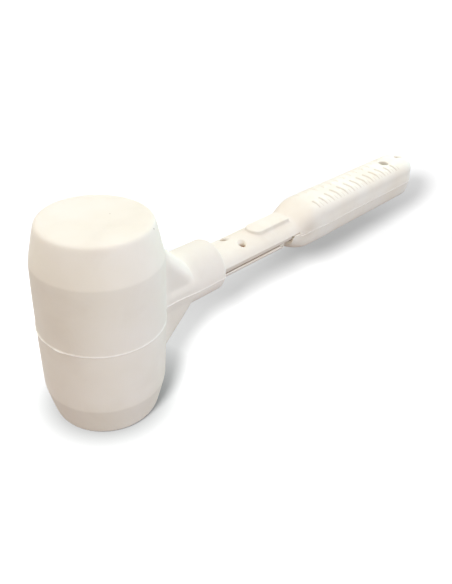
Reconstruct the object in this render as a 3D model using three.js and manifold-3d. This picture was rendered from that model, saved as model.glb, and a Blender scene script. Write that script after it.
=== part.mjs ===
// White rubber mallet: a solid rubber head moulded round an oval glass-fibre
// core, and a plastic handle made of two half shells closed on that core.
//
// Frame: millimetres, +Z up. The origin is the centre of the lower striking
// face, +Z runs up the head's axis to the upper face, and +X runs along the
// handle from the head to the butt. "Axis" below is the handle's axis. Heights
// are measured from it, and the helpers that make solids lift them to it.

import * as THREE from 'three';
import { mergeVertices } from 'three/addons/utils/BufferGeometryUtils.js';
import Module from 'manifold-3d';

const wasm = await Module();
wasm.setup();

// ---------------------------------------------------------------- dimensions

const FAR = 400;                       // beyond every part
const SIDES = [-1, 1];                 // -Y and +Y
const FIT = 0.15;                      // room left all round a fitted piece
const PIN_FIT = 0.1;                   // the same round a pin

// Head: a barrel with two equal striking faces.
const HEAD_LENGTH = 110;
const AXIS_Z = HEAD_LENGTH / 2;        // the handle's axis is at mid length
const BODY_RADIUS = 32.5;              // at mid length
const SHOULDER_RADIUS = 32.05;         // slight draft towards each end
const SHOULDER_OFFSET = 36.2;          // from mid length to each shoulder
const FACE_RADIUS = 26.8;
const FACE_EDGE = 1.8;                 // rounding of the face's edge
const FACE_EDGE_SWEEP = 0.82;          // part of a quarter turn the rounding covers
const FLASH_HEIGHT = 0.25;             // moulding flash round mid length
const FLASH_HALF = 0.35;

// Neck web and collar, one moulding with the head. The web ends in a low step
// whose corners stand proud of the collar.
const NECK_LIFT = 0.9;                 // their middle is a little above the axis
const WEB_HALF_WIDTH = 14.7;
const WEB_EDGE_Y = 6.5;                // rounding of the long edges, across
const WEB_EDGE_IN = 8.7;               // and down the flank
const WEB_REACH = 64.4;                // x + |z - middle| on the 45 degree flanks
const WEB_START = 2;                   // outline inside the rounding, hidden in the barrel
const WEB_FLANK_START = 15;            // where the outline turns 45 degrees
const WEB_END = 50.5;
const WEB_TRIM = 4;                    // overrun that is cut off square
const COLLAR_START = 12;
const COLLAR_RADIUS = 15.8;
const COLLAR_END = 76.3;
const COLLAR_EDGE = 2;

// Handle outside. Each shell swells from the shaft to the grip in a dome, and
// the lower one starts nearer the head. ribOuter is where its ribs end in Y.
const SHELL_START = 38;
const UPPER = { domeStart: 149.5, domeFull: 167, ribOuter: 11.8, ribSide: 1 };
const LOWER = { domeStart: 141.5, domeFull: 162, ribOuter: 8.6, ribSide: -1 };
const SHAFT_WIDTH_START = 12.9, SHAFT_WIDTH_END = 13.7, SHAFT_HEIGHT = 9.3;  // half sizes
const GRIP_WIDTH = 15.6, GRIP_HEIGHT = 15.2;                                 // half sizes
const SHAFT_POWER = 2, GRIP_POWER = 3; // of the superelliptic section
const DOME_POWER = 0.95;               // fullness of the dome's rise
const BUTT_CENTRE = 287, BUTT_END = 302.5;
const BUTT_DROP = 0.3, BUTT_DROP_POWER = 5;  // share of the height lost at the end
const BUTT_MIN = 0.02;                 // least squared width factor at the end
const PLAIN_STATIONS = [COLLAR_END, 100, 123, 190, 215, 240, 264];
const DOME_STEPS = 7, BUTT_STEPS = 8;
const SPLIT_GAP = 0.1;                 // each shell stops this far from the split

// Side slots, with a tongue and a wedge-shaped opening at each one's butt end.
const SLOT_TOP = 1.7, SLOT_BOTTOM = -2;
const SLOT_END = 148.5;
const SLOT_INNER = 10.8;               // |Y|, inside the core's edge
const TONGUE_START = 142.5, TONGUE_END = SLOT_END - 0.1;
const TONGUE_BOTTOM = -1, TONGUE_TOP = 1.6;
const TONGUE_INNER = 12.45;
const WEDGE_START = 129.5, WEDGE_END = LOWER.domeStart;
const WEDGE_TOP = SLOT_BOTTOM + 0.1, WEDGE_BOTTOM = -8;
const WEDGE_INNER = 7;
const SIDE_OUTER = 30;                 // |Y|, outside the handle

// Core bar: half width, half height and power of its oval section.
const CORE_START = -22, CORE_END = 258;
const CORE_END_ROOM = 0.4;
const CORE_WIDTH = 12.2, CORE_HEIGHT = 4.5, CORE_POWER = 2.2;

// Label pad on the upper shell, left blank.
const PAD_START = 112, PAD_END = 144, PAD_HALF = 6;
const PAD_BOTTOM = CORE_HEIGHT + 1, PAD_TOP = 11.3;

// Finger ribs: one inner end |Y| for each rib, on both sides. They lean
// towards the butt, away from the middle.
const RIB_FIRST = 168.3, RIB_PITCH = 8.43, RIB_WIDTH = 3.8, RIB_RISE = 0.5, RIB_SWEEP = 0.22;
const RIB_INNER = [5.4, 4.7, 3.4, 2, 2, 2, 2, 2, 2, 2, 2, 4.6, 5.4];
const RIB_LEAD = 6;                    // the raised form starts this far before the ribs
const RIB_DEPTH = 30;                  // past the handle's outside

// Hollows of the grip, between saddle ribs that hold the core.
const WALL = 2.8;
const HOLLOW_FIRST = 156, HOLLOW_LENGTH = 18.6, HOLLOW_COUNT = 5;
const SADDLE_RIB = 2.2;
const HOLLOW_PITCH = HOLLOW_LENGTH + SADDLE_RIB;
const HOLLOW_POWER = 2.6, HOLLOW_STEPS = 3;

// Pins, all upright.
const SHELL_PIN = { radius: 2, bottom: -6.6, top: 5.2 };
const RIGHT_PIN = { ...SHELL_PIN, x: 100, y: -5.5 };
const LEFT_PIN = { ...SHELL_PIN, x: 95.4, y: 5.5 };
const BUTT_PIN = { radius: 2, bottom: -10.5, top: 12.2, x: 292.6, y: 0 };
const ANCHOR_PIN = { radius: 2.5, bottom: -15, top: 15, y: 0 };
const REAR_ANCHOR_PIN = { ...ANCHOR_PIN, x: -5.9 };
const FRONT_ANCHOR_PIN = { ...ANCHOR_PIN, x: 2.5 };
const SHELL_PINS = [RIGHT_PIN, LEFT_PIN, BUTT_PIN];
const ANCHOR_PINS = [REAR_ANCHOR_PIN, FRONT_ANCHOR_PIN];

const SINK_RADIUS = 2.8, SINK_TOP = 20;      // holes the pins are driven down
const HANG_HOLE = { x: 271, y: 0, radius: 3.5, bottom: -30, top: 30 };

// Anchor plate across the core, inside the head.
const PLATE_START = -3.2, PLATE_END = -0.2;
const PLATE_HALF_Y = 18, PLATE_HALF_Z = 13, PLATE_CORNER = 4;

// ------------------------------------------------------------------- helpers

const { clamp, lerp } = THREE.MathUtils;
const count = (n, make) => Array.from({ length: n }, (_, i) => make(i));
const vectors = (points) => points.map(([x, y]) => new THREE.Vector2(x, y));
const unite = (...list) => list.reduce((sum, part) => sum.add(part));
const cut = (body, ...tools) => tools.reduce((rest, tool) => rest.subtract(tool), body);

// A closed three.js geometry as a solid, with its faces turned outwards.
function solid(geometry) {
  geometry.deleteAttribute('normal');
  geometry.deleteAttribute('uv');
  const merged = mergeVertices(geometry, 1e-4);
  const position = merged.attributes.position;
  const index = merged.index.array;
  const triangles = [];
  const [a, b, c] = count(3, () => new THREE.Vector3());
  let volume = 0;
  for (let i = 0; i < index.length; i += 3) {
    const corners = Array.from(index.slice(i, i + 3));
    if (new Set(corners).size < 3) continue;
    triangles.push(...corners);
    [a, b, c].forEach((corner, k) => corner.fromBufferAttribute(position, corners[k]));
    volume += a.dot(b.cross(c));
  }
  if (volume < 0) {
    for (let i = 0; i < triangles.length; i += 3) {
      [triangles[i + 1], triangles[i + 2]] = [triangles[i + 2], triangles[i + 1]];
    }
  }
  return new wasm.Manifold(new wasm.Mesh({
    numProp: 3,
    vertProperties: new Float32Array(position.array),
    triVerts: new Uint32Array(triangles),
  }));
}

function geometryOf(body) {
  const mesh = body.getMesh();
  const geometry = new THREE.BufferGeometry();
  const positions = new Float32Array(mesh.vertProperties);
  geometry.setAttribute('position', new THREE.BufferAttribute(positions, 3));
  geometry.setIndex(Array.from(mesh.triVerts));
  return geometry;
}

function box(x0, x1, y0, y1, z0, z1) {
  const geometry = new THREE.BoxGeometry(x1 - x0, y1 - y0, z1 - z0);
  return solid(geometry.translate((x0 + x1) / 2, (y0 + y1) / 2, AXIS_Z + (z0 + z1) / 2));
}

// An upright round bar, grown all round.
function post({ x, y, radius, bottom, top }, grow = 0, segments = 24) {
  const r = radius + grow;
  const geometry = new THREE.CylinderGeometry(r, r, top - bottom + 2 * grow, segments);
  return solid(geometry.rotateX(Math.PI / 2).translate(x, y, AXIS_Z + (bottom + top) / 2));
}

// A shape in X and Y, extruded upwards.
function extrudeUp(shape, z0, z1, curveSegments) {
  const options = { depth: z1 - z0, bevelEnabled: false, curveSegments };
  return solid(new THREE.ExtrudeGeometry(shape, options).translate(0, 0, AXIS_Z + z0));
}

// An outline in X and Z, extruded across. The extrusion runs along -Y from y1.
function extrudeAcross(points, y0, y1, bevel = { bevelEnabled: false }) {
  const shape = new THREE.Shape(vectors(points));
  const geometry = new THREE.ExtrudeGeometry(shape, { depth: y1 - y0, ...bevel });
  return solid(geometry.rotateX(Math.PI / 2).translate(0, y1, AXIS_Z));
}

// A body along X with a superelliptic section at each station: its half width
// in Y, half height in Z and power.
function loft(stations, around = 36) {
  const last = stations.length - 1;
  const geometry = new THREE.CylinderGeometry(1, 1, 1, around, last);
  const position = geometry.attributes.position;
  for (let i = 0; i < position.count; i++) {
    const { x, width, height, power } = stations[Math.round((position.getY(i) + 0.5) * last)];
    const y = -position.getX(i);
    const z = position.getZ(i);
    const distance = Math.hypot(y, z);
    if (distance < 0.5) {              // centre of an end cap
      position.setXYZ(i, x, 0, AXIS_Z);
      continue;
    }
    const bend = (v) => (Math.abs(v) < 1e-6 ? 0 : Math.sign(v) * Math.abs(v) ** (2 / power));
    position.setXYZ(i, x, width * bend(y / distance), AXIS_Z + height * bend(z / distance));
  }
  return solid(geometry);
}

// The anchor plate's rounded rectangle in Y and Z, grown all round except at
// its corner radius.
function plate(grow = 0) {
  const r = PLATE_CORNER;
  const y = PLATE_HALF_Y + grow - r;   // centres of the corners
  const z = PLATE_HALF_Z + grow - r;
  const quarter = Math.PI / 2;
  const shape = new THREE.Shape();
  shape.moveTo(-y, -z - r).lineTo(y, -z - r);
  shape.absarc(y, -z, r, -quarter, 0);
  shape.absarc(y, z, r, 0, quarter);
  shape.absarc(-y, z, r, quarter, 2 * quarter);
  shape.absarc(-y, -z, r, 2 * quarter, 3 * quarter);
  const depth = PLATE_END - PLATE_START + 2 * grow;
  const options = { depth, bevelEnabled: false, curveSegments: 5 };
  const geometry = new THREE.ExtrudeGeometry(shape, options);
  // The shape's x becomes Y, its y becomes Z, and the extrusion runs along X.
  geometry.applyMatrix4(new THREE.Matrix4().set(
    0, 0, 1, PLATE_START - grow,
    1, 0, 0, 0,
    0, 1, 0, AXIS_Z,
    0, 0, 0, 1,
  ));
  return solid(geometry);
}

// The core's oval, grown sideways and in height.
function oval(x0, x1, grow = 0) {
  const size = { width: CORE_WIDTH + grow, height: CORE_HEIGHT + grow, power: CORE_POWER };
  return loft([{ x: x0, ...size }, { x: x1, ...size }], 40);
}

// ---------------------------------------------------------------- handle form

// Section of the handle's outside at x, grown all round.
function section(x, { domeStart, domeFull }, grow = 0) {
  const along = clamp((x - COLLAR_END) / (UPPER.domeStart - COLLAR_END), 0, 1);
  const domePart = clamp((x - domeStart) / (domeFull - domeStart), 0, 1);
  const rise = Math.sin(domePart * Math.PI / 2) ** DOME_POWER;
  const butt = clamp((x - BUTT_CENTRE) / (BUTT_END - BUTT_CENTRE), 0, 1);
  const shaftWidth = lerp(SHAFT_WIDTH_START, SHAFT_WIDTH_END, along);
  const width = shaftWidth + (GRIP_WIDTH - SHAFT_WIDTH_END) * rise;
  const height = lerp(SHAFT_HEIGHT, GRIP_HEIGHT, rise);
  return {
    x,
    width: width * Math.sqrt(Math.max(1 - butt * butt, BUTT_MIN)) + grow,
    height: height * (1 - BUTT_DROP * butt ** BUTT_DROP_POWER) + grow,
    power: lerp(SHAFT_POWER, GRIP_POWER, rise),
  };
}

function sections(x0, x1, shell, grow = 0) {
  const { domeStart, domeFull } = shell;
  const inner = [
    ...PLAIN_STATIONS,
    ...count(DOME_STEPS + 1, (i) => domeStart + (domeFull - domeStart) * i / DOME_STEPS),
    ...count(BUTT_STEPS + 1, (i) => (
      BUTT_CENTRE + (BUTT_END - BUTT_CENTRE) * Math.sin(i / BUTT_STEPS * Math.PI / 2))),
  ].filter((x) => x > x0 && x < x1);
  const places = [...new Set([x0, ...inner, x1])].sort((p, q) => p - q);
  return places.map((x) => section(x, shell, grow));
}

// The outside with its finger ribs: slices of a slightly larger grip, each side
// of a smooth middle band.
function handleForm(shell) {
  let form = loft(sections(SHELL_START, BUTT_END, shell));
  const larger = loft(sections(RIB_FIRST - RIB_LEAD, BUTT_CENTRE, shell, RIB_RISE));
  const outer = shell.ribOuter;
  const [z0, z1] = shell.ribSide < 0 ? [-RIB_DEPTH, 0] : [0, RIB_DEPTH];
  RIB_INNER.forEach((inner, i) => {
    const x = RIB_FIRST + i * RIB_PITCH;
    for (const side of SIDES) {
      const shape = new THREE.Shape(vectors([
        [x + RIB_SWEEP * inner, side * inner],
        [x + RIB_WIDTH + RIB_SWEEP * inner, side * inner],
        [x + RIB_WIDTH + RIB_SWEEP * outer, side * outer],
        [x + RIB_SWEEP * outer, side * outer],
      ]));
      form = form.add(larger.intersect(extrudeUp(shape, z0, z1)));
    }
  });
  return form;
}

// -------------------------------------------------------------- handle shells

const coreRoom = oval(CORE_START - CORE_END_ROOM, CORE_END + CORE_END_ROOM, FIT);
const hangHole = post(HANG_HOLE, 0, 32);
const pinRooms = SHELL_PINS.map((pin) => post(pin, PIN_FIT));

const hollows = count(HOLLOW_COUNT, (i) => {
  const start = HOLLOW_FIRST + i * HOLLOW_PITCH;
  return loft(count(HOLLOW_STEPS + 1, (k) => ({
    ...section(start + HOLLOW_LENGTH * k / HOLLOW_STEPS, UPPER, -WALL),
    power: HOLLOW_POWER,
  })), 32);
});

// Y range from an inner face to outside the handle, on one side.
const span = (side, inner) => (side < 0 ? [-SIDE_OUTER, -inner] : [inner, SIDE_OUTER]);

// The shells don't meet along the shaft, and the core shows in the slots.
const slots = (end) => SIDES.map((side) => (
  box(SHELL_START - 1, end, ...span(side, SLOT_INNER), SLOT_BOTTOM, SLOT_TOP)));

// Openings in the lower shell that deepen towards the butt.
const wedges = () => SIDES.map((side) => extrudeAcross([
  [WEDGE_START, WEDGE_TOP],
  [WEDGE_END, WEDGE_BOTTOM],
  [WEDGE_END, WEDGE_TOP],
], ...span(side, WEDGE_INNER)));

// Tongues on the lower shell's dome, closing each slot's butt end.
const tongues = (form) => SIDES.map((side) => form.intersect(
  box(TONGUE_START, TONGUE_END, ...span(side, TONGUE_INNER), TONGUE_BOTTOM, TONGUE_TOP)));

// The label pad is rounded at the end nearer the head.
function labelPad() {
  const centre = PAD_START + PAD_HALF;
  const shape = new THREE.Shape();
  shape.moveTo(PAD_END, -PAD_HALF).lineTo(PAD_END, PAD_HALF).lineTo(centre, PAD_HALF);
  shape.absarc(centre, 0, PAD_HALF, Math.PI / 2, 1.5 * Math.PI);
  return extrudeUp(shape, PAD_BOTTOM, PAD_TOP, 12);
}

function upperShell() {
  const half = box(-FAR, FAR, -FAR, FAR, SPLIT_GAP, FAR);
  const body = unite(handleForm(UPPER), labelPad()).intersect(half);
  const sinks = SHELL_PINS.map(({ x, y, top }) => (
    post({ x, y, radius: SINK_RADIUS, bottom: top, top: SINK_TOP })));
  return cut(body, coreRoom, ...slots(SLOT_END), hangHole, ...hollows, ...sinks, ...pinRooms);
}

function lowerShell() {
  const half = box(-FAR, FAR, -FAR, FAR, -FAR, -SPLIT_GAP);
  const form = handleForm(LOWER);
  const body = unite(form.intersect(half), ...tongues(form));
  const openings = [...slots(LOWER.domeStart), ...wedges()];
  return cut(body, coreRoom, ...openings, hangHole, ...hollows, ...pinRooms);
}

// ----------------------------------------------------------- core and anchor

function coreBar() {
  const pins = [RIGHT_PIN, LEFT_PIN, ...ANCHOR_PINS];
  return cut(oval(CORE_START, CORE_END), ...pins.map((pin) => post(pin, PIN_FIT)));
}

const anchorPlate = () => cut(plate(), oval(PLATE_START - 1, PLATE_END + 1, FIT));

// ------------------------------------------------------------------ the head

// Profiles are [radius, distance along the axis of revolution].
function barrel() {
  const lowerHalf = [
    ...count(4, (i) => {
      const angle = i / 3 * Math.PI / 2 * FACE_EDGE_SWEEP;
      return [
        FACE_RADIUS - FACE_EDGE + FACE_EDGE * Math.sin(angle),
        FACE_EDGE * (1 - Math.cos(angle)),
      ];
    }),
    [SHOULDER_RADIUS, AXIS_Z - SHOULDER_OFFSET],
    [BODY_RADIUS, AXIS_Z - FLASH_HALF],
  ];
  const profile = [
    [0, 0],
    ...lowerHalf,
    [BODY_RADIUS + FLASH_HEIGHT, AXIS_Z],
    ...lowerHalf.map(([r, z]) => [r, HEAD_LENGTH - z]).reverse(),
    [0, HEAD_LENGTH],
  ];
  return solid(new THREE.LatheGeometry(vectors(profile), 72).rotateX(Math.PI / 2));
}

function collar() {
  const profile = [
    [0, COLLAR_START],
    [COLLAR_RADIUS, COLLAR_START],
    ...count(5, (i) => {
      const angle = i / 4 * Math.PI / 2;
      return [
        COLLAR_RADIUS - COLLAR_EDGE * (1 - Math.cos(angle)),
        COLLAR_END - COLLAR_EDGE * (1 - Math.sin(angle)),
      ];
    }),
    [0, COLLAR_END],
  ];
  const geometry = new THREE.LatheGeometry(vectors(profile), 48).rotateZ(-Math.PI / 2);
  return solid(geometry.translate(0, 0, AXIS_Z + NECK_LIFT));
}

// The web's outline is drawn inside its rounding, and the bevel grows it. The
// end towards the butt is cut square afterwards.
function web() {
  const reach = WEB_REACH - WEB_EDGE_IN * Math.SQRT2;
  const end = WEB_END + WEB_TRIM - WEB_EDGE_IN;
  const edge = [                       // x, height from the web's middle
    [WEB_START, reach - WEB_FLANK_START],
    [WEB_FLANK_START, reach - WEB_FLANK_START],
    [end, reach - end],
  ];
  const outline = [
    ...edge.map(([x, z]) => [x, NECK_LIFT - z]),
    ...edge.map(([x, z]) => [x, NECK_LIFT + z]).reverse(),
  ];
  const flat = WEB_HALF_WIDTH - WEB_EDGE_Y;
  const bevel = { bevelThickness: WEB_EDGE_Y, bevelSize: WEB_EDGE_IN, bevelSegments: 6 };
  const body = extrudeAcross(outline, -flat, flat, bevel);
  return body.intersect(box(-FAR, WEB_END, -FAR, FAR, -FAR, FAR));
}

// The room the handle, the core and the anchor fill.
const socket = () => unite(
  loft([section(SHELL_START - 0.3, UPPER, FIT), section(COLLAR_END + 5, UPPER, FIT)]),
  coreRoom,
  plate(FIT),
  ...ANCHOR_PINS.map((pin) => post(pin, FIT)),
);

const rubberHead = () => cut(unite(barrel(), web(), collar()), socket());

// --------------------------------------------------------------- the assembly

const material = (color, roughness, metalness = 0) => () => (
  new THREE.MeshStandardMaterial({ color, roughness, metalness }));
const rubber = material(0xe9e2d8, 0.78);
const plastic = material(0xf2ede0, 0.5);
const glassFibre = material(0xd9d2c4, 0.6);
const nylon = material(0xe2d8c2, 0.55);
const steel = material(0x9a9c9f, 0.4, 1);

const mallet = new THREE.Group();

function piece(name, body, surface) {
  const mesh = new THREE.Mesh(geometryOf(body), surface());
  mesh.name = name;
  mallet.add(mesh);
}

piece('rubber_head', rubberHead(), rubber);
piece('core_bar', coreBar(), glassFibre);
piece('anchor_plate', anchorPlate(), steel);
piece('anchor_pin_rear', post(REAR_ANCHOR_PIN), steel);
piece('anchor_pin_front', post(FRONT_ANCHOR_PIN), steel);
piece('handle_shell_upper', upperShell(), plastic);
piece('handle_shell_lower', lowerShell(), plastic);
piece('shell_pin_right', post(RIGHT_PIN), nylon);
piece('shell_pin_left', post(LEFT_PIN), nylon);
piece('shell_pin_butt', post(BUTT_PIN), nylon);

export default mallet;
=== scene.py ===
"""A white rubber mallet in a small studio.

The barrel of the head stands upright round the Z axis, its lower face on the floor at
z = 0. The handle runs level along +X, from inside the head to the butt, and is split
flat into an upper and a lower shell.
"""

import math
from functools import reduce
from itertools import product

import bpy
import numpy as np
from mathutils import Matrix, Vector


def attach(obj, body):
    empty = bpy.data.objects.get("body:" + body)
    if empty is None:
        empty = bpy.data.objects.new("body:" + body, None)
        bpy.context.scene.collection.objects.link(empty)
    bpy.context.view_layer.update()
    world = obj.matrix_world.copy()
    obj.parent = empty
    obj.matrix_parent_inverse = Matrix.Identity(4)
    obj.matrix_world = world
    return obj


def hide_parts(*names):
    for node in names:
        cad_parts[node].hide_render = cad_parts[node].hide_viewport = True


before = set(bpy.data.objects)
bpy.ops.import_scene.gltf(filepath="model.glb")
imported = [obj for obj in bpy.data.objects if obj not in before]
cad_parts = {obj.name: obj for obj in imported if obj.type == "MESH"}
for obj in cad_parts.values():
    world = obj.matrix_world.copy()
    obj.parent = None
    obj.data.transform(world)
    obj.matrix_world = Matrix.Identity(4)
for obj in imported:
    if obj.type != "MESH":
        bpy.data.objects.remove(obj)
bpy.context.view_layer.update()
scene = bpy.context.scene

# Shapes are worked out in millimetres with z measured from the handle's axis,
# then lifted by AXIS_Z and scaled to metres. In names, _Y and _Z are half-sizes,
# _R is a radius and a SPAN is the (start, end) of a gradual change.
AXIS_Z = 55.0
MM = 0.001

# ------------------------------------------------------------ shaping fields
# A shape is a field of distances: negative inside, positive outside.

FIELD_LIMIT = 4.0
WALL_VALUE = 0.5
RELAX_PASSES, PULL_STEPS = 2, 2
CORNERS = list(product((0, 1), repeat=3))


def ramp(value, span):
    """An S-curve from 0 at the start of the span to 1 at its end."""
    low, high = span
    part = np.clip((value - low) / (high - low), 0.0, 1.0)
    return part * part * (3.0 - 2.0 * part)


def fade(value, span, by=1.0):
    """From 1 at the start of the span down to 1 - by at its end."""
    return 1 - by * ramp(value, span)


def bell(value, centre, width):
    return np.exp(-(((value - centre) / width) ** 2))


def meet(*parts):
    """Intersection with sharp edges."""
    return reduce(np.maximum, parts)


def join(*parts):
    """Union with sharp edges."""
    return reduce(np.minimum, parts)


def between(value, low, high):
    return np.maximum(low - value, value - high)


def smooth_meet(one, other, width):
    return 0.5 * (one + other + np.sqrt((one - other) ** 2 + width * width))


def round_meet(one, other, radius):
    """Intersection of two slabs at a right angle, with a round edge."""
    return np.minimum(np.maximum(one, other), -radius) + np.hypot(
        np.maximum(one + radius, 0.0), np.maximum(other + radius, 0.0)
    )


def fillet(one, other, radius):
    """Union of two bodies with a round inside corner."""
    return np.maximum(np.minimum(one, other), radius) - np.hypot(
        np.maximum(radius - one, 0.0), np.maximum(radius - other, 0.0)
    )


def post(x, y, centre_x, centre_y, radius):
    """An endless upright cylinder."""
    return np.hypot(x - centre_x, y - centre_y) - radius


def superellipse(y, z, half_y, half_z, power):
    """Distance out from a superelliptic section, measured from its middle."""
    y, z = np.abs(y), np.abs(z)
    reach = np.hypot(y, z) + 1e-6
    ratio = ((y / half_y) ** power + (z / half_z) ** power) ** (1.0 / power) + 1e-6
    return reach - reach / ratio


def waves(seed, count, low, high):
    """A smooth wandering function of one variable, from a fixed set of sines."""
    rng = np.random.RandomState(seed)
    pace = rng.uniform(low, high, count)
    phase = rng.uniform(0, 2 * math.pi, count)
    size = rng.uniform(0.5, 1.0, count)
    return lambda v: sum(size[i] * np.sin(pace[i] * v + phase[i]) for i in range(count)) / size.sum()


# ------------------------------------------------------------ field to mesh


def spread(*runs):
    """Grid lines: runs of (start, end, step)."""
    lines = []
    for start, end, step in runs:
        count = max(1, int(round((end - start) / step)))
        lines.extend(start + (end - start) * i / count for i in range(count))
    lines.append(runs[-1][1])
    return np.array(lines, np.float64)


def soften(field):
    """A small blur of the field, which rounds every edge by about a grid step."""
    for axis in range(3):
        padded = np.pad(np.moveaxis(field, axis, 0), [(1, 1), (0, 0), (0, 0)], mode="edge")
        blurred = 0.25 * padded[:-2] + 0.5 * padded[1:-1] + 0.25 * padded[2:]
        field = np.moveaxis(blurred, 0, axis)
    return field


def sample(field, axes, points):
    """Value and gradient of the gridded field at the points."""
    cells, parts, steps = [], [], []
    for axis, lines in enumerate(axes):
        low = np.clip(np.searchsorted(lines, points[:, axis]) - 1, 0, len(lines) - 2)
        step = lines[low + 1] - lines[low]
        cells.append(low)
        steps.append(step)
        parts.append(np.clip((points[:, axis] - lines[low]) / step, 0.0, 1.0))
    (i, j, k), (part_x, part_y, part_z) = cells, parts
    at = {(a, b, c): field[i + a, j + b, k + c].astype(np.float64) for a, b, c in CORNERS}
    pairs = list(product((0, 1), repeat=2))
    on_x = {(b, c): at[0, b, c] * (1 - part_x) + at[1, b, c] * part_x for b, c in pairs}
    on_y = {c: on_x[0, c] * (1 - part_y) + on_x[1, c] * part_y for c in (0, 1)}
    value = on_y[0] * (1 - part_z) + on_y[1] * part_z
    slope_x = sum(
        (at[1, b, c] - at[0, b, c])
        * (part_y if b else 1 - part_y)
        * (part_z if c else 1 - part_z)
        for b, c in pairs
    )
    slope_y = (on_x[1, 0] - on_x[0, 0]) * (1 - part_z) + (on_x[1, 1] - on_x[0, 1]) * part_z
    slopes = (slope_x, slope_y, on_y[1] - on_y[0])
    return value, np.stack([slope / step for slope, step in zip(slopes, steps)], 1)


def crossing_points(field, axes, base):
    """For each crossed cell, the mean of the places where its edges cross zero."""
    total = np.zeros((len(base[0]), 3))
    count = np.zeros(len(base[0]))
    for corner in CORNERS:
        for axis in range(3):
            if corner[axis]:
                continue
            far = list(corner)
            far[axis] = 1
            start = field[tuple(base[k] + corner[k] for k in range(3))]
            end = field[tuple(base[k] + far[k] for k in range(3))]
            crossed = (start < 0) != (end < 0)
            part = start[crossed] / (start[crossed] - end[crossed])
            for k in range(3):
                low = axes[k][base[k][crossed] + corner[k]]
                if k == axis:
                    high = axes[k][base[k][crossed] + 1]
                    low = low + (high - low) * part
                total[crossed, k] += low
            count[crossed] += 1
    return total / count[:, None]


def crossing_quads(inside, index):
    """One quad round every grid edge that passes through the surface."""
    quads = []
    for axis in range(3):
        side, up = (axis + 1) % 3, (axis + 2) % 3
        low, high = [slice(1, -1)] * 3, [slice(1, -1)] * 3
        low[axis], high[axis] = slice(0, -1), slice(1, None)
        starts, ends = inside[tuple(low)], inside[tuple(high)]
        where = np.nonzero(starts != ends)
        ring = []
        for side_step, up_step in ((0, 0), (1, 0), (1, 1), (0, 1)):
            cell = list(where)
            cell[side] = cell[side] + side_step
            cell[up] = cell[up] + up_step
            ring.append(index[tuple(cell)])
        quad = np.stack(ring, 1)
        flip = ~starts[where]
        quad[flip] = quad[flip][:, ::-1]
        quads.append(quad)
    return np.concatenate(quads)


def surface_mesh(field, axes):
    """A quad mesh of the field's zero surface: one point per crossed cell,
    evened out between its neighbours and set back on the surface."""
    inside = field < 0
    size = [n - 1 for n in field.shape]
    count = np.zeros(size, np.int8)
    for a, b, c in CORNERS:
        count += inside[a : a + size[0], b : b + size[1], c : c + size[2]]
    base = np.nonzero((count > 0) & (count < 8))
    index = np.full(size, -1, np.int64)
    index[base] = np.arange(len(base[0]))
    quads = crossing_quads(inside, index)
    edges = np.concatenate([quads[:, [i, (i + 1) % 4]] for i in range(4)])
    limit = np.stack([np.diff(axes[k])[base[k]] for k in range(3)], 1).min(1)

    def pull_back(points):
        for _ in range(PULL_STEPS):
            value, slope = sample(field, axes, points)
            share = -value / np.maximum((slope * slope).sum(1), 1e-4)
            move = slope * share[:, None]
            length = np.sqrt((move * move).sum(1))
            hold = np.minimum(1.0, 0.5 * limit / np.maximum(length, 1e-9))
            points = points + move * hold[:, None]
        return points

    verts = pull_back(crossing_points(field, axes, base))
    degree = np.bincount(edges.ravel(), minlength=len(verts)).astype(float)
    for _ in range(RELAX_PASSES):
        mean = np.zeros_like(verts)
        for k in range(3):
            mean[:, k] = np.bincount(edges[:, 0], verts[edges[:, 1], k], len(verts))
            mean[:, k] += np.bincount(edges[:, 1], verts[edges[:, 0], k], len(verts))
        mean /= degree[:, None]
        verts = pull_back(verts + 0.5 * (mean - verts))
    return verts, quads


def make_object(name, verts, quads):
    coords = np.array(verts, np.float64)
    coords[:, 2] += AXIS_Z
    coords *= MM
    mesh = bpy.data.meshes.new(name)
    mesh.vertices.add(len(coords))
    mesh.vertices.foreach_set("co", coords.astype(np.float32).ravel())
    mesh.loops.add(quads.size)
    mesh.loops.foreach_set("vertex_index", quads.astype(np.int32).ravel())
    mesh.polygons.add(len(quads))
    mesh.polygons.foreach_set("loop_start", np.arange(0, quads.size, 4, dtype=np.int32))
    mesh.update(calc_edges=True)
    mesh.validate()
    mesh.polygons.foreach_set("use_smooth", np.ones(len(quads), bool))
    obj = bpy.data.objects.new(name, mesh)
    scene.collection.objects.link(obj)
    return obj


def build(name, shape, axes):
    x, y, z = np.meshgrid(*axes, indexing="ij", sparse=True)
    field = np.broadcast_to(shape(x, y, z), tuple(len(a) for a in axes)).astype(np.float32)
    field = soften(np.clip(field, -FIELD_LIMIT, FIELD_LIMIT))
    # Nothing may touch the grid's walls, so the mesh always closes.
    for axis in range(3):
        wall = [slice(None)] * 3
        for wall[axis] in (0, -1):
            field[tuple(wall)] = np.maximum(field[tuple(wall)], WALL_VALUE)
    return make_object(name, *surface_mesh(field, axes))


# ------------------------------------------------------------------- handle

SHELL_START, COLLAR_END = 38.0, 76.3
SPLIT = 0.03  # each shell stops this far from the split plane
FIT = 0.15
# The shaft's section is an ellipse that widens towards the grip.
SHAFT_Y, SHAFT_END_Y, SHAFT_Z = 12.9, 13.7, 9.3
CORE_Y, CORE_Z, CORE_POWER, CORE_END = 12.2, 4.5, 2.2, 258.4

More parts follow.
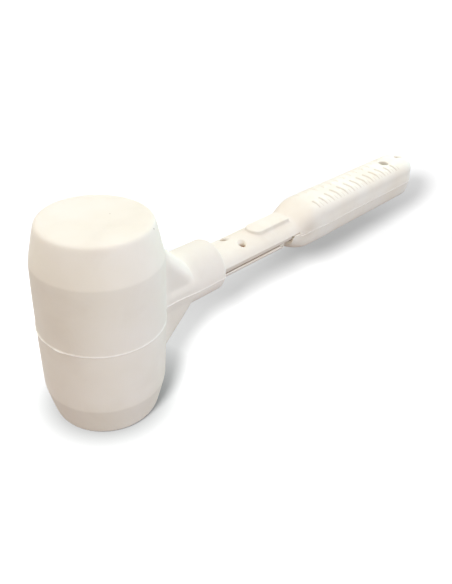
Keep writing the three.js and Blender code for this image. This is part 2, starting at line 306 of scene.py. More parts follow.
# The dome where shaft becomes grip, on the upper and on the lower shell.
GRIP_START, GRIP_FULL, GRIP_EASE = 149.5, 167.0, 1.3
LOWER_START, LOWER_FULL, LOWER_EASE = 141.5, 162.0, 0.7
DOME_POWER = 0.95
GRIP_Y, GRIP_Z, GRIP_POWER = 15.6, 15.2, 3.0
BELLY_X, BELLY_LENGTH, BELLY_RISE, BELLY_OFFSET = 182.0, 13.0, 0.35, 0.12
BUTT_CENTRE, BUTT_END, BUTT_POWER_RISE = 287.0, 302.5, 2.2
# The sloping end of the butt: weights of x and z, its height and its edge.
LEAN_X, LEAN_Z, LEAN_UP, LEAN_EDGE = 0.94, 0.34, 1.0, 1.6

# Flutes along the sides: depth, height, width.
FLUTES = ((0.55, 5.6, 2.9), (0.30, -5.6, 3.2))
FLUTE_OUT_SPAN, FLUTE_X_SPAN = (11.0, 14.0), (158.0, 180.0)
BEAD_RISE, BEAD_WIDTH, BEAD_SPAN = 0.42, 0.42, (148.5, 150.0)
PROUD, PROUD_DEPTH, PROUD_SPAN = 0.12, 0.9, (144.0, 153.0)

SLOT_TOP, SLOT_BOTTOM, SLOT_INNER, SLOT_END = 1.7, -2.0, 10.8, 148.5
LIP_RISE, LIP_OFFSET, LIP_WIDTH, LOWER_LIP_BACK = 0.22, 0.35, 0.36, 8.0
RELIEF_START, RELIEF_END, RELIEF_SLOPE, RELIEF_INNER = 129.5, 141.5, 0.508, 7.0
TONGUE_START, TONGUE_TOP, TONGUE_INNER, TONGUE_GAP = 142.5, 1.6, 12.45, 0.1

PAD_START, PAD_END, PAD_HALF, PAD_TOP, PAD_FLOOR = 112.0, 144.0, 6.0, 11.3, 2.0
PAD_OVERRUN, PAD_CROWN, PAD_EDGE, PAD_FILLET = 0.9, 0.012, 0.35, 1.3

RIB_FIRST, RIB_PITCH, RIB_WIDTH, RIB_RISE, RIB_SWEEP = 168.3, 8.43, 3.8, 0.55, 0.22
# How far out from the middle each rib begins, from the head to the butt.
RIB_INNER = [5.4, 4.7, 3.4, 2, 2, 2, 2, 2, 2, 2, 2, 4.6, 5.4]
RIB_OUTER, RIB_OUTER_BELOW = 11.8, 8.6
RIB_EDGE_SPAN, RIB_TAIL_SPAN = (-0.25, 0.25), (1.6, RIB_WIDTH + 1.0)
RIB_FACE_SPAN = (6.0, 9.0)
RIB_SIDE_SPAN, RIB_SIDE_LOSS = (7.5, 11.5), 0.75
RIB_PLUS_Y_SPAN, RIB_PLUS_Y_LOSS = (3.0, 6.0), 0.55
GROOVE_X, GROOVE_WIDTH, GROOVE_DEPTH = -0.25, 0.36, 0.38
GROOVE_PLUS_Y_SPAN, GROOVE_PLUS_Y_LOSS = (0.5, 3.0), 0.88
TAIL_GROOVE_PART, TAIL_GROOVE_SPAN = 0.85, (7.8, 8.8)

# Pins through the shells: x, y, bottom, top, height of the hole's mouth.
PINS = (
    (100.0, -5.5, -6.7, 5.2, 8.5),
    (95.4, 5.5, -6.7, 5.2, 8.5),
    (292.6, 0.0, -10.6, 12.2, 15.0),
)
PIN_R, PIN_GAP = 2.1, 0.1
SINK_R, SINK_MOUTH_R, SINK_BELOW, SINK_ABOVE, SINK_EDGE = 2.15, 3.05, 1.9, 0.3, 0.3
HANG_X, HANG_R, HANG_EDGE = 271.0, 3.5, 0.5

HOLLOWS, HOLLOW_FIRST, HOLLOW_PITCH, HOLLOW_LENGTH = 5, 156.0, 20.8, 18.6
HOLLOW_WALL, HOLLOW_POWER = 2.8, 2.6


def core_room(y, z):
    return superellipse(y, z, CORE_Y + FIT, CORE_Z + FIT, CORE_POWER)


def hang_hole(x, y):
    return post(x, y, HANG_X, 0.0, HANG_R)


def dome(x, below=False, ease=0.0):
    """How far the shaft has grown into the grip: 0 on the shaft, 1 on the grip."""
    start, full = (LOWER_START, LOWER_FULL) if below else (GRIP_START, GRIP_FULL)
    run = x - start
    run = 0.5 * (run + np.sqrt(run * run + ease * ease))
    return np.sin(np.clip(run / (full - start), 0, 1) * math.pi / 2) ** DOME_POWER


def rib_field(x, y, z):
    """The finger ribs and the narrow grooves beside them, each from 0 to 1."""
    ribs, grooves = 0.0, 0.0
    out = np.abs(y)
    for i, inner in enumerate(RIB_INNER):
        at = x - (RIB_FIRST + i * RIB_PITCH) - RIB_SWEEP * out
        start = ramp(out, (inner - 0.5, inner + 0.5))
        ribs = ribs + ramp(at, RIB_EDGE_SPAN) * fade(at, RIB_TAIL_SPAN) * start
        grooves = grooves + bell(at, GROOVE_X, GROOVE_WIDTH) * start
        tail = TAIL_GROOVE_PART * bell(at, RIB_WIDTH, GROOVE_WIDTH)
        grooves = grooves + tail * ramp(out, TAIL_GROOVE_SPAN)
    end = np.where(z > 0, RIB_OUTER, RIB_OUTER_BELOW)
    faces = fade(out, (end - 0.4, end + 0.6)) * ramp(np.abs(z), RIB_FACE_SPAN)
    ribs = ribs * faces * fade(out, RIB_SIDE_SPAN, by=RIB_SIDE_LOSS)
    ribs = ribs * fade(y, RIB_PLUS_Y_SPAN, by=RIB_PLUS_Y_LOSS)
    return ribs, grooves * faces * fade(y, GROOVE_PLUS_Y_SPAN, by=GROOVE_PLUS_Y_LOSS)


def pad_outline(x, y):
    """Distance out from the pad's plan, which is round at the end towards the head."""
    front = np.hypot(np.minimum(x - PAD_START - PAD_HALF, 0.0), y) - PAD_HALF
    return np.where(x < PAD_START + PAD_HALF, front, np.abs(y) - PAD_HALF)


def handle_outside(x, y, z, below=False):
    along = np.clip((x - COLLAR_END) / (GRIP_START - COLLAR_END), 0, 1)
    grown = dome(x, below, LOWER_EASE if below else GRIP_EASE)
    half_y = SHAFT_Y + (SHAFT_END_Y - SHAFT_Y) * along + (GRIP_Y - SHAFT_END_Y) * grown
    half_z = SHAFT_Z + (GRIP_Z - SHAFT_Z) * grown
    power = 2 + (GRIP_POWER - 2) * grown
    # The butt is the same section turned about an upright axis.
    past = np.maximum(x - BUTT_CENTRE, 0.0)
    plan = np.hypot(y, past)
    turn = past / np.maximum(plan, 1e-6)
    power = power + BUTT_POWER_RISE * turn**2
    # The belly of the grip is fullest a little behind the dome.
    swell = (BELLY_RISE * bell(x, BELLY_X, BELLY_LENGTH) - BELLY_OFFSET) * grown
    grip = superellipse(plan, z, half_y + swell, half_z, power)
    # The lower half leans in towards the end.
    lean = (x - BUTT_END) * LEAN_X - (z + LEAN_UP) * LEAN_Z
    body = smooth_meet(grip, lean, LEAN_EDGE)

    # A shallow flute along each side, above and below the split.
    side, run = ramp(plan, FLUTE_OUT_SPAN), ramp(x, FLUTE_X_SPAN)
    for depth, height, width in FLUTES:
        body = body + depth * bell(z, height, width) * side * run

    # The raised pad on top of the shaft.
    pad = round_meet(pad_outline(x, y), z - PAD_TOP + PAD_CROWN * y**2, PAD_EDGE)
    pad = meet(pad, x - PAD_END - PAD_OVERRUN, PAD_FLOOR - z)
    body = fillet(body, pad, PAD_FILLET)

    # Finger ribs: a narrow groove and a steep edge towards the head, and an easy
    # slope behind, lower towards the sides.
    ribs, grooves = rib_field(x, y, z)
    body = body - RIB_RISE * ribs + GROOVE_DEPTH * grooves

    # A fine bead of flash where the two halves meet.
    body = body - BEAD_RISE * bell(z, 0.0, BEAD_WIDTH) * ramp(x, BEAD_SPAN)

    # Beads along the lips of the side slots.
    end = LOWER_START - LOWER_LIP_BACK if below else SLOT_END
    lips = bell(z - SLOT_TOP, LIP_OFFSET, LIP_WIDTH)
    lips = lips + bell(z - SLOT_BOTTOM, -LIP_OFFSET, LIP_WIDTH)
    return body - LIP_RISE * lips * fade(x, (end - 4.0, end + 1.0))


def handle_inside(x, y, z, below=False):
    """Everything a shell leaves out."""
    out = np.abs(y)
    core = meet(core_room(y, z), x - CORE_END)
    slot = meet(between(z, SLOT_BOTTOM, SLOT_TOP), SLOT_INNER - out)
    slot = meet(slot, x - (LOWER_START if below else SLOT_END))
    room = join(core, slot, hang_hole(x, y))
    if below:
        # A wedge that deepens below the slot as it nears the grip.
        wedge = SLOT_BOTTOM + 0.1 - RELIEF_SLOPE * (x - RELIEF_START) - z
        wedge = wedge / math.hypot(1.0, RELIEF_SLOPE)
        wedge = meet(wedge, x - RELIEF_END, z - SLOT_BOTTOM - 0.2, RELIEF_INNER - out)
        room = join(room, wedge)

    grown = dome(x)
    half_y = SHAFT_END_Y + (GRIP_Y - SHAFT_END_Y) * grown - HOLLOW_WALL
    half_z = SHAFT_Z + (GRIP_Z - SHAFT_Z) * grown - HOLLOW_WALL
    hollow = superellipse(y, z, half_y, half_z, HOLLOW_POWER)
    for i in range(HOLLOWS):
        start = HOLLOW_FIRST + HOLLOW_PITCH * i
        room = join(room, meet(hollow, between(x - start, 0.0, HOLLOW_LENGTH)))
    for pin_x, pin_y, bottom, top, _ in PINS:
        pin = post(x, y, pin_x, pin_y, PIN_R)
        room = join(room, meet(pin, between(z, bottom, top + PIN_GAP)))
    return room


def upper_shell(x, y, z):
    shell = meet(handle_outside(x, y, z), SPLIT - z, SHELL_START - x, -handle_inside(x, y, z))
    for pin_x, pin_y, _, top, mouth in PINS:
        # Each hole narrows from a dished mouth down to the pin.
        widening = ramp(z, (mouth - SINK_BELOW, mouth + SINK_ABOVE))
        radius = SINK_R + (SINK_MOUTH_R - SINK_R) * widening
        sink = meet(post(x, y, pin_x, pin_y, radius), top - z)
        shell = smooth_meet(shell, -sink, SINK_EDGE)
    return smooth_meet(shell, -hang_hole(x, y), HANG_EDGE)


def lower_shell(x, y, z):
    outside = handle_outside(x, y, z, below=True)
    # It stands a hair proud of the upper half where the two meet.
    outside = outside - PROUD * np.exp(np.minimum(z, 0) / PROUD_DEPTH) * ramp(x, PROUD_SPAN)
    # A tongue on each side rises past the split to fill the end of the slot.
    tongue = meet(TONGUE_START - x, x - SLOT_END + TONGUE_GAP)
    tongue = meet(tongue, TONGUE_INNER - np.abs(y), z - TONGUE_TOP)
    shell = meet(outside, join(SPLIT + z, tongue), SHELL_START - x)
    shell = meet(shell, -handle_inside(x, y, z, below=True))
    return smooth_meet(shell, -hang_hole(x, y), HANG_EDGE)


def paint_crease_shade(obj):
    """Store the painted shade for the narrow grooves, the foot of the pad and that of the dome."""
    coords = np.empty(len(obj.data.vertices) * 3, np.float32)
    obj.data.vertices.foreach_get("co", coords)
    x, y, z = (coords.reshape(-1, 3).astype(np.float64) / MM).T
    z = z - AXIS_Z
    crease_shade = rib_field(x, y, z)[1]
    pad_foot = 0.5 * bell(pad_outline(x, y), centre=0.2, width=0.3)
    pad_foot = pad_foot * (x < PAD_END + 1.5) * (z > 7.0) * (z < PAD_TOP - 0.75)
    # Only the outer surface of the shaft counts.
    outer = superellipse(y, z, SHAFT_END_Y + 0.2, SHAFT_Z + 0.2, 2.0) > -1.2
    # The foot of the dome gets a little painted shade too, at the sides.
    dome_foot = 0.6 * bell(x, centre=156.0, width=7.5) * ramp(np.abs(y), (6.5, 13.5))
    dome_foot = dome_foot * ramp(6.5 - np.abs(z - 2.5), (-3.0, 5.0))
    layer = obj.data.attributes.new("crease_shade", "FLOAT", "POINT")
    crease_shade = np.clip(crease_shade + pad_foot * outer + dome_foot, 0.0, 1.0)
    layer.data.foreach_set("value", crease_shade.astype(np.float32))


LONG = spread(
    (37.0, 75.0, 0.95), (75.0, 128.0, 0.45), (128.0, 282.0, 0.3), (282.0, 304.2, 0.45)
)
WIDE = spread((-17.0, 17.0, 0.42))
UP = spread((-0.3, 0.6, 0.1), (0.6, 3.2, 0.2), (3.2, 17.0, 0.4))
DOWN = spread((-17.0, -3.2, 0.4), (-3.2, -0.6, 0.2), (-0.6, 0.3, 0.1), (0.3, 2.3, 0.2))
upper = build("handle_upper_shell", upper_shell, (LONG, WIDE, UP))
lower = build("handle_lower_shell", lower_shell, (LONG, WIDE, DOWN))
paint_crease_shade(upper)
paint_crease_shade(lower)

# --------------------------------------------------------------------- head

# A barrel that swells to BODY_R at mid-height, with a cone beyond each shoulder.
HEAD_HALF, HEAD_TOP, FACE_EDGE = 55.0, 55.9, 1.5
BODY_R, SHOULDER_R, SHOULDER, SHOULDER_EDGE, FACE_R = 32.5, 32.05, 36.2, 0.22, 27.9
# The web between barrel and collar: flanks at 45 degrees, with rounded edges.
NECK_LIFT = 0.9
WEB_HALF, WEB_EDGE_Y, WEB_EDGE_IN, WEB_REACH, WEB_FRONT = 14.7, 6.5, 8.7, 64.4, 50.5
WEB_SLANT, WEB_FRONT_EDGE, WEB_TALL, WEB_START = 0.7071, 0.5, 49.4, 2.0
COLLAR_R, COLLAR_EDGE, COLLAR_START, COLLAR_FILLET = 15.8, 1.6, 12.0, 0.7
NECK_FILLET = 2.2

# Flash: height, width, the drop along the web, and the thicker part at the back.
FLASH_RISE, FLASH_WIDTH, FLASH_DROP, FLASH_DROP_SPAN = 0.6, 0.42, 1.1, (36.0, 56.0)
FLASH_MEAN, FLASH_COARSE, FLASH_FINE, FLASH_LIMITS = 0.62, 0.38, 0.25, (0.3, 1.5)
FLASH_BACK, FLASH_BACK_ANGLE, FLASH_BACK_WIDTH = 0.9, 2.86, 0.16
FLASH_WEB_R, FLASH_WEB_LENGTH = 34.5, 30.0
coarse_waves = waves(seed=3, count=9, low=2.0, high=23.0)
fine_waves = waves(seed=5, count=12, low=30.0, high=90.0)

# Rooms for the core bar and the anchor; the plate's are half-sizes.
CORE_START, SOCKET_GAP, ROOM_EDGE = -22.4, 0.3, 0.3
PLATE_X, PLATE_HALVES = -1.7, (1.65, 18.15, 13.15)
ANCHOR_PINS_X, ANCHOR_PIN_R, ANCHOR_PIN_HALF = (-5.9, 2.5), 2.65, 15.15


def head_outside(x, y, z, radius):
    height = np.abs(z)
    side = radius - (BODY_R - (BODY_R - SHOULDER_R) * (height / SHOULDER) ** 2)
    rise, run = HEAD_HALF - SHOULDER, SHOULDER_R - FACE_R
    cone = (radius - SHOULDER_R) * rise + (height - SHOULDER) * run
    barrel = smooth_meet(side, cone / math.hypot(rise, run), SHOULDER_EDGE)
    barrel = smooth_meet(barrel, between(z, -HEAD_HALF, HEAD_TOP), FACE_EDGE)

    lifted = z - NECK_LIFT
    flank = (x + np.abs(lifted) - WEB_REACH) * WEB_SLANT
    web = round_meet(flank * WEB_EDGE_Y / WEB_EDGE_IN, np.abs(y) - WEB_HALF, WEB_EDGE_Y)
    web = smooth_meet(web, x - WEB_FRONT, WEB_FRONT_EDGE)
    web = meet(web, height - WEB_TALL, WEB_START - x)

    collar = round_meet(np.hypot(y, lifted) - COLLAR_R, x - COLLAR_END, COLLAR_EDGE)
    collar = meet(collar, COLLAR_START - x)
    return fillet(barrel, fillet(web, collar, COLLAR_FILLET), NECK_FILLET)


def head_flash(x, y, z, radius):
    """Moulding flash round the middle, uneven as flash is."""
    angle = np.arctan2(y, x)
    run = np.where(radius > FLASH_WEB_R, x / FLASH_WEB_LENGTH, angle)
    uneven = FLASH_MEAN + FLASH_COARSE * coarse_waves(run * 3.0) + FLASH_FINE * fine_waves(run)
    back = bell(np.abs(angle), FLASH_BACK_ANGLE, FLASH_BACK_WIDTH)
    uneven = uneven * (1.0 + FLASH_BACK * back)
    level = z + FLASH_DROP * ramp(x, FLASH_DROP_SPAN)
    return FLASH_RISE * np.clip(uneven, *FLASH_LIMITS) * bell(level, 0.0, FLASH_WIDTH)


def head_room():
    """Not used: builds nothing; head_inside makes the socket and the anchor's room."""


def head_inside(x, y, z):
    """Socket for the handle, and the room round the core bar and the anchor."""
    socket = superellipse(y, z, SHAFT_Y + FIT, SHAFT_Z + FIT, 2.0)
    socket = meet(socket, SHELL_START - SOCKET_GAP - x)
    core = meet(core_room(y, z), CORE_START - x)
    offsets = (x - PLATE_X, y, z)
    plate = meet(*(np.abs(offset) - half for offset, half in zip(offsets, PLATE_HALVES)))
    room = join(socket, core, plate)
    for pin_x in ANCHOR_PINS_X:
        pin = post(x, y, pin_x, 0.0, ANCHOR_PIN_R)
        room = join(room, meet(pin, np.abs(z) - ANCHOR_PIN_HALF))
    return room


def head_shape(x, y, z):
    radius = np.hypot(x, y)
    body = head_outside(x, y, z, radius) - head_flash(x, y, z, radius)
    return smooth_meet(body, -head_inside(x, y, z), ROOM_EDGE)


HEAD_X = spread((-33.6, 42.0, 0.6), (42.0, 54.0, 0.4), (54.0, 77.6, 0.6))
HEAD_Y = spread((-33.6, -17.4, 0.6), (-17.4, 17.4, 0.5), (17.4, 33.6, 0.6))
HEAD_Z = spread(
    (-55.8, -53.0, 0.4),
    (-53.0, -18.0, 0.66),
    (-18.0, -2.4, 0.5),
    (-2.4, 1.2, 0.15),
    (1.2, 19.0, 0.5),
    (19.0, 53.0, 0.66),
    (53.0, 56.6, 0.4),
)
head = build("head_rubber_body", head_shape, (HEAD_X, HEAD_Y, HEAD_Z))

for obj, node, slot in (
    (upper, "handle_shell_upper", "handle_plastic"),
    (lower, "handle_shell_lower", "handle_plastic"),
    (head, "rubber_head", "head_rubber"),
):
    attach(obj, "root")
    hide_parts(node)

# ---------------------------------------------------------------- materials
# Materials work in metres, with z measured from the floor.


class Graph:
    """A material's nodes round one Principled shader."""

    def __init__(self, name):
        self.material = bpy.data.materials.new(name)
        self.material.use_nodes = True
        self.tree = self.material.node_tree
        self.tree.nodes.clear()
        output = self.node("OutputMaterial")
        self.shader = self.node("BsdfPrincipled")
        self.tree.links.new(self.shader.outputs[0], output.inputs[0])
        self.position = self.node("TexCoord").outputs["Object"]

    def fill(self, node, inputs):
        """Link or set inputs, given by name or number."""
        for key, value in inputs.items():
            if isinstance(value, bpy.types.NodeSocket):
                self.tree.links.new(value, node.inputs[key])
            else:
                node.inputs[key].default_value = value

    def node(self, kind, inputs=None, **settings):
        node = self.tree.nodes.new("ShaderNode" + kind)
        for key, value in settings.items():
            setattr(node, key, value)
        self.fill(node, inputs or {})
        return node

    def finish(self, inputs):
        self.fill(self.shader, inputs)
        return self.material

    def noise(self, scale, detail=4.0, rough=0.55, distortion=0.0, vector=None):
        inputs = {"Vector": vector or self.position, "Scale": scale, "Detail": detail}
        inputs.update({"Roughness": rough, "Distortion": distortion})
        return self.node("TexNoise", inputs).outputs["Fac"]

    def streaks(self, scales, detail):
        """Noise stretched by its own scale along each axis."""
        parts = [self.math("MULTIPLY", v, s) for v, s in zip(self.split(self.position), scales)]
        vector = self.node("CombineXYZ", dict(enumerate(parts))).outputs[0]
        return self.noise(scale=1.0, detail=detail, rough=0.6, vector=vector)

    def remap(self, value, span, to=(0, 1)):
        names = ("Value", "From Min", "From Max", "To Min", "To Max")
        return self.node("MapRange", dict(zip(names, (value, *span, *to)))).outputs[0]

    def math(self, operation, *values):
        return self.node("Math", dict(enumerate(values)), operation=operation).outputs[0]

    def multiply(self, *values):
        return reduce(lambda one, other: self.math("MULTIPLY", one, other), values)

    def mix(self, factor, one, other, mode="MIX"):
        inputs = {0: factor, 6: one, 7: other}
        return self.node("Mix", inputs, data_type="RGBA", blend_type=mode).outputs[2]

    def split(self, vector):
        return self.node("SeparateXYZ", {0: vector}).outputs

    def normal_z(self):
        return self.split(self.node("NewGeometry").outputs["Normal"])[2]

    def grey(self, value):
        return self.node("CombineXYZ", {0: value, 1: value, 2: value}).outputs[0]

    def shade(self, distance):
        """1 in the open, falling to 0 deep in a seam or hollow."""
        return self.node("AmbientOcclusion", {"Distance": distance}, samples=8).outputs["AO"]

    def fin(self, height, peak):
        """The thin line of flash: peak at height 0, falling to nothing beside it."""
        return self.remap(self.math("ABSOLUTE", height), span=(0.0002, 0.00045), to=(peak, 0.0))

    def bump(self, height, strength, distance, normal=None):
        node = self.node("Bump", {"Strength": strength, "Distance": distance, "Height": height})
        if normal is not None:
            self.fill(node, {"Normal": normal})
        return node.outputs[0]


def srgb(*channels):
    """A linear colour from 0-255 red, green and blue."""

    def linear(channel):
        channel /= 255.0
        return channel / 12.92 if channel <= 0.04045 else ((channel + 0.055) / 1.055) ** 2.4

    return (*map(linear, channels), 1.0)


FLASH_AND_HIGHLIGHT_COLOR = srgb(254, 253, 250)


def rubber():
    mat = Graph("head_rubber_white")
    x, _, z = mat.split(mat.position)
    patches = mat.remap(mat.noise(scale=22, detail=3), span=(0.35, 0.65))
    base = mat.mix(patches, srgb(237, 233, 224), srgb(232, 227, 215))
    # Handling marks: a greyer mottling.
    smudge = mat.noise(scale=48, detail=6, rough=0.62, distortion=0.4)
    smudge = mat.remap(smudge, span=(0.5, 0.72), to=(0.0, 1.0))
    base = mat.mix(mat.multiply(smudge, 0.16), base, srgb(214, 205, 194))
    # Painted shade and light: the head is painted darker downwards and its upper cone paler, with a
    # step at each shoulder.
    painted_light_tone = mat.multiply(
        mat.remap(z, span=(0.0906, 0.0918), to=(0.99, 1.06)),
        mat.remap(z, span=(0.02, 0.08), to=(0.97, 1.0)),
        mat.remap(z, span=(0.0182, 0.0194), to=(0.94, 1.0)),
    )
    # Painted light and shade: the upward-facing rounded top of the web is painted paler than its
    # sides, and the sides darker.
    web = mat.multiply(
        mat.remap(x, span=(0.046, 0.056), to=(1.0, 0.0)),
        mat.remap(mat.normal_z(), span=(0.08, 0.34), to=(-0.045, 0.12)),
    )
    on_web = mat.remap(x, span=(0.031, 0.035))
    painted_light_tone = mat.mix(on_web, mat.grey(painted_light_tone), mat.grey(mat.math("ADD", web, 1.0)))
    base = mat.mix(1.0, base, painted_light_tone, "MULTIPLY")
    # Painted shade: creases and hollows that ambient occlusion finds are painted browner.
    crease_shade = mat.remap(mat.shade(distance=0.0012), span=(0.3, 0.8), to=(0.4, 0.0))
    base = mat.mix(crease_shade, base, srgb(176, 152, 128))
    # The thin flash is painted paler, partly as its own paler colour and partly as a painted
    # highlight along its ridge; its line drops along the web.
    drop = mat.remap(x, span=(0.036, 0.056), to=(0.0, -0.0011))
    line = mat.math("SUBTRACT", mat.math("SUBTRACT", z, AXIS_Z * MM), drop)
    weight = mat.remap(x, span=(0.032, 0.036), to=(0.6, 0.3))
    base = mat.mix(mat.multiply(mat.fin(line, peak=1.0), weight), base, FLASH_AND_HIGHLIGHT_COLOR)
    # Small specks moulded into the surface.
    cells = mat.node("TexVoronoi", {"Vector": mat.position, "Scale": 92}).outputs["Distance"]
    rare = mat.math("GREATER_THAN", mat.noise(scale=31, detail=0, rough=0.5), 0.6)
    speck = mat.multiply(mat.remap(cells, span=(0.035, 0.055), to=(1.0, 0.0)), rare)
    base = mat.mix(mat.multiply(speck, 0.75), base, srgb(120, 104, 88))
    normal = mat.bump(mat.noise(scale=35, detail=3, rough=0.5), strength=0.35, distance=0.0006)
    grain = mat.noise(scale=900, detail=4, rough=0.6)
    normal = mat.bump(grain, strength=0.25, distance=0.00012, normal=normal)
    normal = mat.bump(speck, strength=0.5, distance=-0.0002, normal=normal)
    gloss = mat.noise(scale=120, detail=4, rough=0.6)
    return mat.finish({
        "Base Color": base,
        "Roughness": mat.remap(gloss, span=(0.3, 0.7), to=(0.62, 0.8)),
        "IOR": 1.5,
        "Specular IOR Level": 0.35,
        "Subsurface Weight": 0.08,
        "Subsurface Radius": (1.0, 0.8, 0.6),
        "Subsurface Scale": 0.002,
        "Normal": normal,
    })


def plastic():
    mat = Graph("handle_plastic_white")
    patches = mat.remap(mat.noise(scale=30, detail=3), span=(0.35, 0.65))
    base = mat.mix(patches, srgb(244, 241, 232), srgb(241, 235, 222))
    smudge = mat.noise(scale=70, detail=6, rough=0.62, distortion=0.3)
    smudge = mat.remap(smudge, span=(0.52, 0.74), to=(0.0, 1.0))
    base = mat.mix(mat.multiply(smudge, 0.22), base, srgb(222, 213, 199))
    x, _, z = mat.split(mat.position)
    # Painted shade and light: the upright sides are painted a little greyer than the top, and the
    # butt a little cooler, as the light falls on it.
    upright = mat.math("ABSOLUTE", mat.normal_z())
    side = mat.grey(mat.remap(upright, span=(0.2, 0.8), to=(0.925, 1.0)))
    side = mat.mix(mat.remap(x, span=(0.27, 0.296)), side, (1.0, 1.04, 1.08, 1))
    base = mat.mix(1.0, base, side, "MULTIPLY")
    # Painted shade: seams and hollows that ambient occlusion finds are painted brown.
    seam_shade = mat.remap(mat.shade(distance=0.001), span=(0.25, 0.9), to=(0.42, 0.0))
    base = mat.mix(seam_shade, base, srgb(160, 124, 96))
    # Painted shade in the grooves and at the feet of the pad and the dome.
    crease_shade = mat.node("Attribute", attribute_name="crease_shade").outputs["Fac"]
    base = mat.mix(mat.multiply(crease_shade, 0.4), base, srgb(182, 164, 140))
    # The grip's parting line is painted paler, partly as its own paler flash and partly as a painted
    # highlight along it.
    fin = mat.fin(mat.math("SUBTRACT", z, AXIS_Z * MM), peak=0.5)
    fin = mat.multiply(fin, mat.math("GREATER_THAN", x, 0.149))
    base = mat.mix(fin, base, FLASH_AND_HIGHLIGHT_COLOR)
    normal = mat.bump(mat.noise(scale=60, detail=3, rough=0.5), strength=0.25, distance=0.0003)
    grain = mat.noise(scale=1300, detail=3, rough=0.6)
    gloss = mat.noise(scale=150, detail=4, rough=0.6)
    return mat.finish({
        "Base Color": base,
        "Roughness": mat.remap(gloss, span=(0.3, 0.7), to=(0.42, 0.58)),
        "IOR": 1.49,
        "Specular IOR Level": 0.4,
        "Subsurface Weight": 0.06,
        "Subsurface Radius": (1.0, 0.85, 0.7),
        "Subsurface Scale": 0.0015,
        "Normal": mat.bump(grain, strength=0.18, distance=0.00008, normal=normal),
    })


def fibre():
    mat = Graph("core_glass_fibre")
    strands = mat.streaks(scales=(12.0, 900.0, 900.0), detail=3)
    tint = mat.remap(strands, span=(0.3, 0.7))
    return mat.finish({
        "Base Color": mat.mix(tint, srgb(206, 197, 184), srgb(226, 219, 207)),
        "Roughness": mat.remap(strands, span=(0.3, 0.7), to=(0.5, 0.7)),
        "Normal": mat.bump(strands, strength=0.4, distance=0.0001),
    })


def nylon():
    mat = Graph("pin_nylon_cream")
    tint = mat.remap(mat.noise(scale=400), span=(0.35, 0.65))
    gloss = mat.noise(scale=700, detail=3)
    return mat.finish({
        "Base Color": mat.mix(tint, srgb(218, 170, 118), srgb(196, 144, 96)),
        "Roughness": mat.remap(gloss, span=(0.3, 0.7), to=(0.5, 0.68)),
        "Normal": mat.bump(mat.noise(scale=1500), strength=0.3, distance=0.00008),
    })


def steel():
    mat = Graph("anchor_steel_brushed")
    grain = mat.streaks(scales=(60.0, 60.0, 1400.0), detail=4)
    return mat.finish({
        "Base Color": mat.mix(grain, srgb(150, 152, 156), srgb(182, 184, 187)),
        "Metallic": 1.0,
        "Roughness": mat.remap(grain, span=(0.3, 0.7), to=(0.28, 0.45)),
        "Normal": mat.bump(grain, strength=0.2, distance=0.00005),
    })


def finish_cad(node, material):
    """Give a CAD piece its material, smooth shading and fine bevelled edges."""
    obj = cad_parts[node]
    obj.data.materials.clear()
    obj.data.materials.append(material)
    obj.data.polygons.foreach_set("use_smooth", np.ones(len(obj.data.polygons), bool))
    bpy.context.view_layer.objects.active = obj
    for edge in obj.data.edges:
        edge.use_edge_sharp = False
    bevel = obj.modifiers.new("edges", "BEVEL")
    bevel.width = 0.00025
    bevel.segments = 2
    bevel.limit_method = "ANGLE"
    bevel.angle_limit = math.radians(40)
    bevel.harden_normals = True


RUBBER, PLASTIC, FIBRE, NYLON, STEEL = rubber(), plastic(), fibre(), nylon(), steel()
for obj, material in ((head, RUBBER), (upper, PLASTIC), (lower, PLASTIC)):
    obj.data.materials.append(material)
for material, slot, nodes in (
    (FIBRE, "core_glass_fibre", ("core_bar",)),
    (NYLON, "pin_nylon", ("shell_pin_right", "shell_pin_left", "shell_pin_butt")),
    (STEEL, "anchor_steel", ("anchor_plate", "anchor_pin_rear", "anchor_pin_front")),
):
    for node in nodes:
        finish_cad(node, material)

# ------------------------------------------------------- floor, light, camera

# Each light's name, azimuth, elevation, and strength in red, green and blue.
STUDIO = (
    ("light_near_right", -80, 15, (0.347, 0.446, 0.506)),
    ("light_far_right", 10, 15, (0.228, 0.406, 0.391)),
    ("light_back", 100, 50, (0.319, 0.365, 0.319)),
    ("light_far_left", 145, 15, (0.105, 0.149, 0.196)),
    ("light_near_left", -170, 15, (0.08, 0.082, 0.017)),
)
SUN_ANGLE = 45
TENT, BACKDROP = (0.703, 0.575, 0.572), (0.93, 0.93, 0.93)
# Paper that looks neutral under the tent, and a lamp that looks neutral on it.
PAPER = [0.5 * TENT[1] / v for v in TENT] + [1]
LAMP_COLOR = [v / max(TENT) for v in TENT]
LAMP_POWER, LAMP_RADIUS = 112.0, 0.05
LAMP_LEFT, LAMP_UP = 0.082, 0.042  # from the camera
FLOOR_HALF = 6

CAMERA_AT = Vector((-143.0877, -207.0097, 236.9004)) * MM
FORWARD = Vector((0.628345, 0.547288, -0.552865))
RIGHT = Vector((0.683329, -0.727959, 0.056005))
TOP = Vector((0.371812, 0.412979, 0.831387))
LENS, SENSOR = 36.739726, 36.0


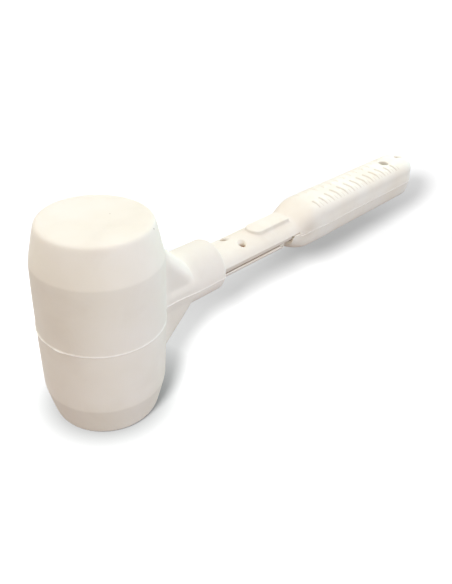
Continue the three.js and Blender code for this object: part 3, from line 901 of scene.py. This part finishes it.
def paper():
    """Paper that throws back less light than it shows, so undersides stay shaded,
    and glows a little more away from the mallet, so the sweep stays pale; its glow
    round the head and beside the handle is painted light that lifts the shadow,
    and a painted contact shadow rings the head's foot."""
    mat = Graph("studio_paper")
    patches = mat.remap(mat.noise(scale=3, detail=3), span=(0.3, 0.7))
    color = mat.mix(patches, PAPER, [v * 1.02 for v in PAPER[:3]] + [1])
    seen = mat.node("LightPath").outputs["Is Camera Ray"]
    place = mat.node("NewGeometry").outputs["Position"]

    def distance(point):
        node = mat.node("VectorMath", {0: place, 1: point}, operation="DISTANCE")
        return node.outputs["Value"]

    # The sweep glows so it stays pale; round the head and in a patch beside the handle the glow is
    # painted light that lifts the cast shadow.
    sweep, painted_light_patch = distance((-0.18, -0.21, 0.0)), distance((0.17, 0.14, 0.0))
    near = mat.node("VectorMath", {0: place}, operation="LENGTH").outputs["Value"]
    glow = mat.math(
        "ADD",
        mat.remap(sweep, span=(0.54, 1.0), to=(0.19, 1.0)),
        mat.remap(near, span=(0.08, 0.22), to=(0.28, 0.0)),
    )
    glow = mat.math("ADD", glow, mat.remap(painted_light_patch, span=(0.04, 0.12), to=(0.35, 0.0)))
    # Painted contact shadow: a soft dark ring where the head stands.
    painted_contact_shadow = mat.remap(near, span=(0.028, 0.058), to=(0.42, 1.0))
    color = mat.mix(1.0, color, mat.grey(painted_contact_shadow), "MULTIPLY")
    return mat.finish({
        "Base Color": mat.mix(seen, srgb(106, 104, 101), color),
        "Roughness": 0.95,
        "Specular IOR Level": 0.0,
        "Normal": mat.bump(mat.noise(scale=600, detail=3), strength=0.05, distance=0.0001),
        "Emission Color": (1, 1, 1, 1),
        "Emission Strength": mat.multiply(glow, painted_contact_shadow, seen),
    })


def make_floor():
    mesh = bpy.data.meshes.new("studio_floor")
    corners = [(a * FLOOR_HALF, b * FLOOR_HALF, 0) for a, b in ((-1, -1), (1, -1), (1, 1), (-1, 1))]
    mesh.from_pydata(corners, [], [(0, 1, 2, 3)])
    obj = bpy.data.objects.new("studio_floor", mesh)
    scene.collection.objects.link(obj)
    mesh.materials.append(paper())
    return obj


def make_world():
    """An even tent of light round the mallet; the camera sees a grey backdrop."""
    world = bpy.data.worlds.new("studio")
    scene.world = world
    world.use_nodes = True
    nodes, links = world.node_tree.nodes, world.node_tree.links
    sky = nodes["Background"]
    mix = nodes.new("ShaderNodeMix")
    mix.data_type = "RGBA"
    mix.inputs[6].default_value = (*TENT, 1)
    mix.inputs[7].default_value = (*BACKDROP, 1)
    links.new(nodes.new("ShaderNodeLightPath").outputs["Is Camera Ray"], mix.inputs[0])
    links.new(mix.outputs[2], sky.inputs[0])
    sky.inputs[1].default_value = 1.0


def add_light(light, receivers):
    obj = bpy.data.objects.new(light.name, light)
    scene.collection.objects.link(obj)
    obj.light_linking.receiver_collection = receivers
    return obj


def make_lights(floor):
    """Five broad lights round the mallet light it alone, and one lamp beside the camera
    lights the floor alone, so the shadow stays close under the handle."""
    on_object = bpy.data.collections.new("lit_object")
    on_floor = bpy.data.collections.new("lit_floor")
    on_floor.objects.link(floor)
    for obj in [head, upper, lower] + list(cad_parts.values()):
        on_object.objects.link(obj)

    for name, azimuth, elevation, strength in STUDIO:
        turn, lift = math.radians(azimuth), math.radians(elevation)
        flat = math.cos(lift)
        source = Vector((math.cos(turn) * flat, math.sin(turn) * flat, math.sin(lift)))
        light = bpy.data.lights.new(name, "SUN")
        light.energy = math.pi * max(strength)
        light.color = [v / max(strength) for v in strength]
        light.angle = math.radians(SUN_ANGLE)
        sun = add_light(light, on_object)
        sun.rotation_euler = (-source).to_track_quat("-Z", "Y").to_euler()

    lamp = bpy.data.lights.new("floor_lamp", "POINT")
    lamp.energy = LAMP_POWER
    lamp.color = LAMP_COLOR
    lamp.shadow_soft_size = LAMP_RADIUS
    # Constant falloff lights the floor evenly.
    lamp.use_nodes = True
    tree = lamp.node_tree
    even = tree.nodes.new("ShaderNodeLightFalloff")
    even.inputs["Strength"].default_value = 1.0
    tree.links.new(even.outputs["Constant"], tree.nodes["Emission"].inputs["Strength"])
    add_light(lamp, on_floor).location = CAMERA_AT - RIGHT * LAMP_LEFT + TOP * LAMP_UP


def make_camera():
    camera = bpy.data.cameras.new("camera")
    camera.sensor_width = SENSOR
    camera.lens = LENS
    camera.clip_start = 0.01
    camera.clip_end = 50
    obj = bpy.data.objects.new("camera", camera)
    scene.collection.objects.link(obj)
    pose = Matrix((RIGHT, TOP, -FORWARD)).transposed().to_4x4()
    pose.translation = CAMERA_AT
    obj.matrix_world = pose
    scene.camera = obj
    scene.view_settings.view_transform = "Standard"
    scene.view_settings.look = "None"


floor = make_floor()
make_world()
make_lights(floor)
make_camera()
